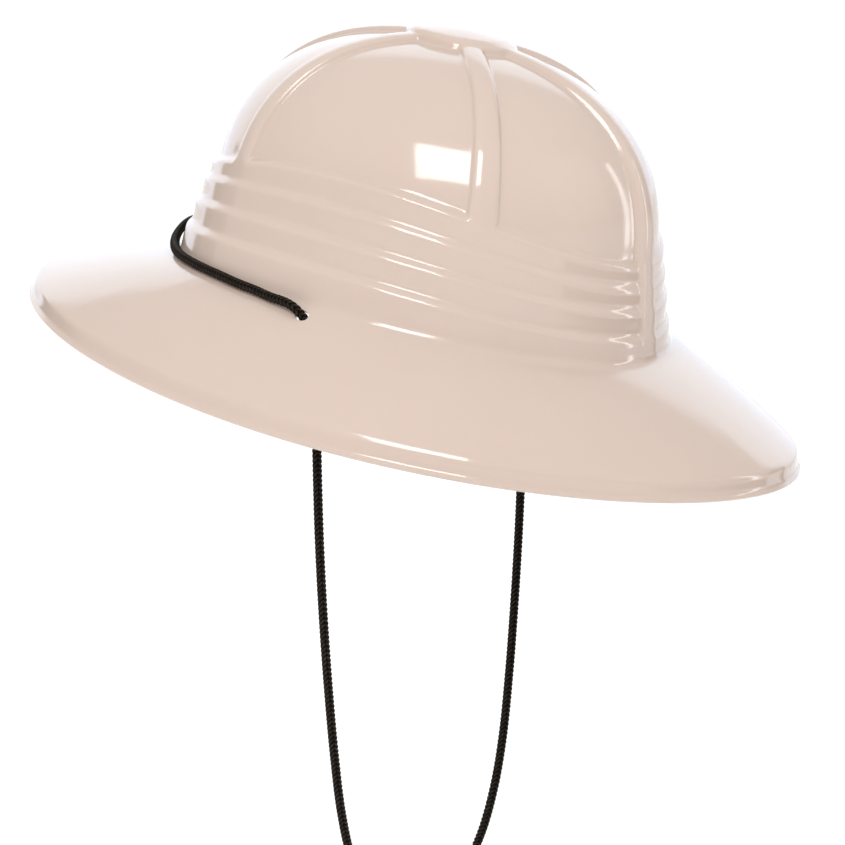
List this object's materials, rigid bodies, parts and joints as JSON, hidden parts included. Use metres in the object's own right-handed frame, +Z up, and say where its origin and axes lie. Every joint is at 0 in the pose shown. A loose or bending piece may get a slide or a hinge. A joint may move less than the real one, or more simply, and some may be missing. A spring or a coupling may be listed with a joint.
{
  "type": "pith helmet",
  "caption": "Pith helmet: one thin moulded shell with ribbed crown, pleated band and sloping brim, and a braided chin cord loop.",
  "frame": {"origin": "centre of the head opening, in the plane where the crown's band meets the brim", "axes": "+Z up as worn, -Y to the front, +X to the wearer's left; the hat is leaned back 10 degrees as in the picture"},
  "size_m": [0.24, 0.3296, 0.365],
  "materials": {
    "shell_plastic": "glossy vacuum-formed sheet",
    "cord_braid": "round braid",
    "knot_braid": "round braid, knotted"
  },
  "bodies": {
    "root": {"helmet_shell": "shell_plastic", "chin_cord": "cord_braid", "cord_knot": "knot_braid"}
  },
  "joints": []
}
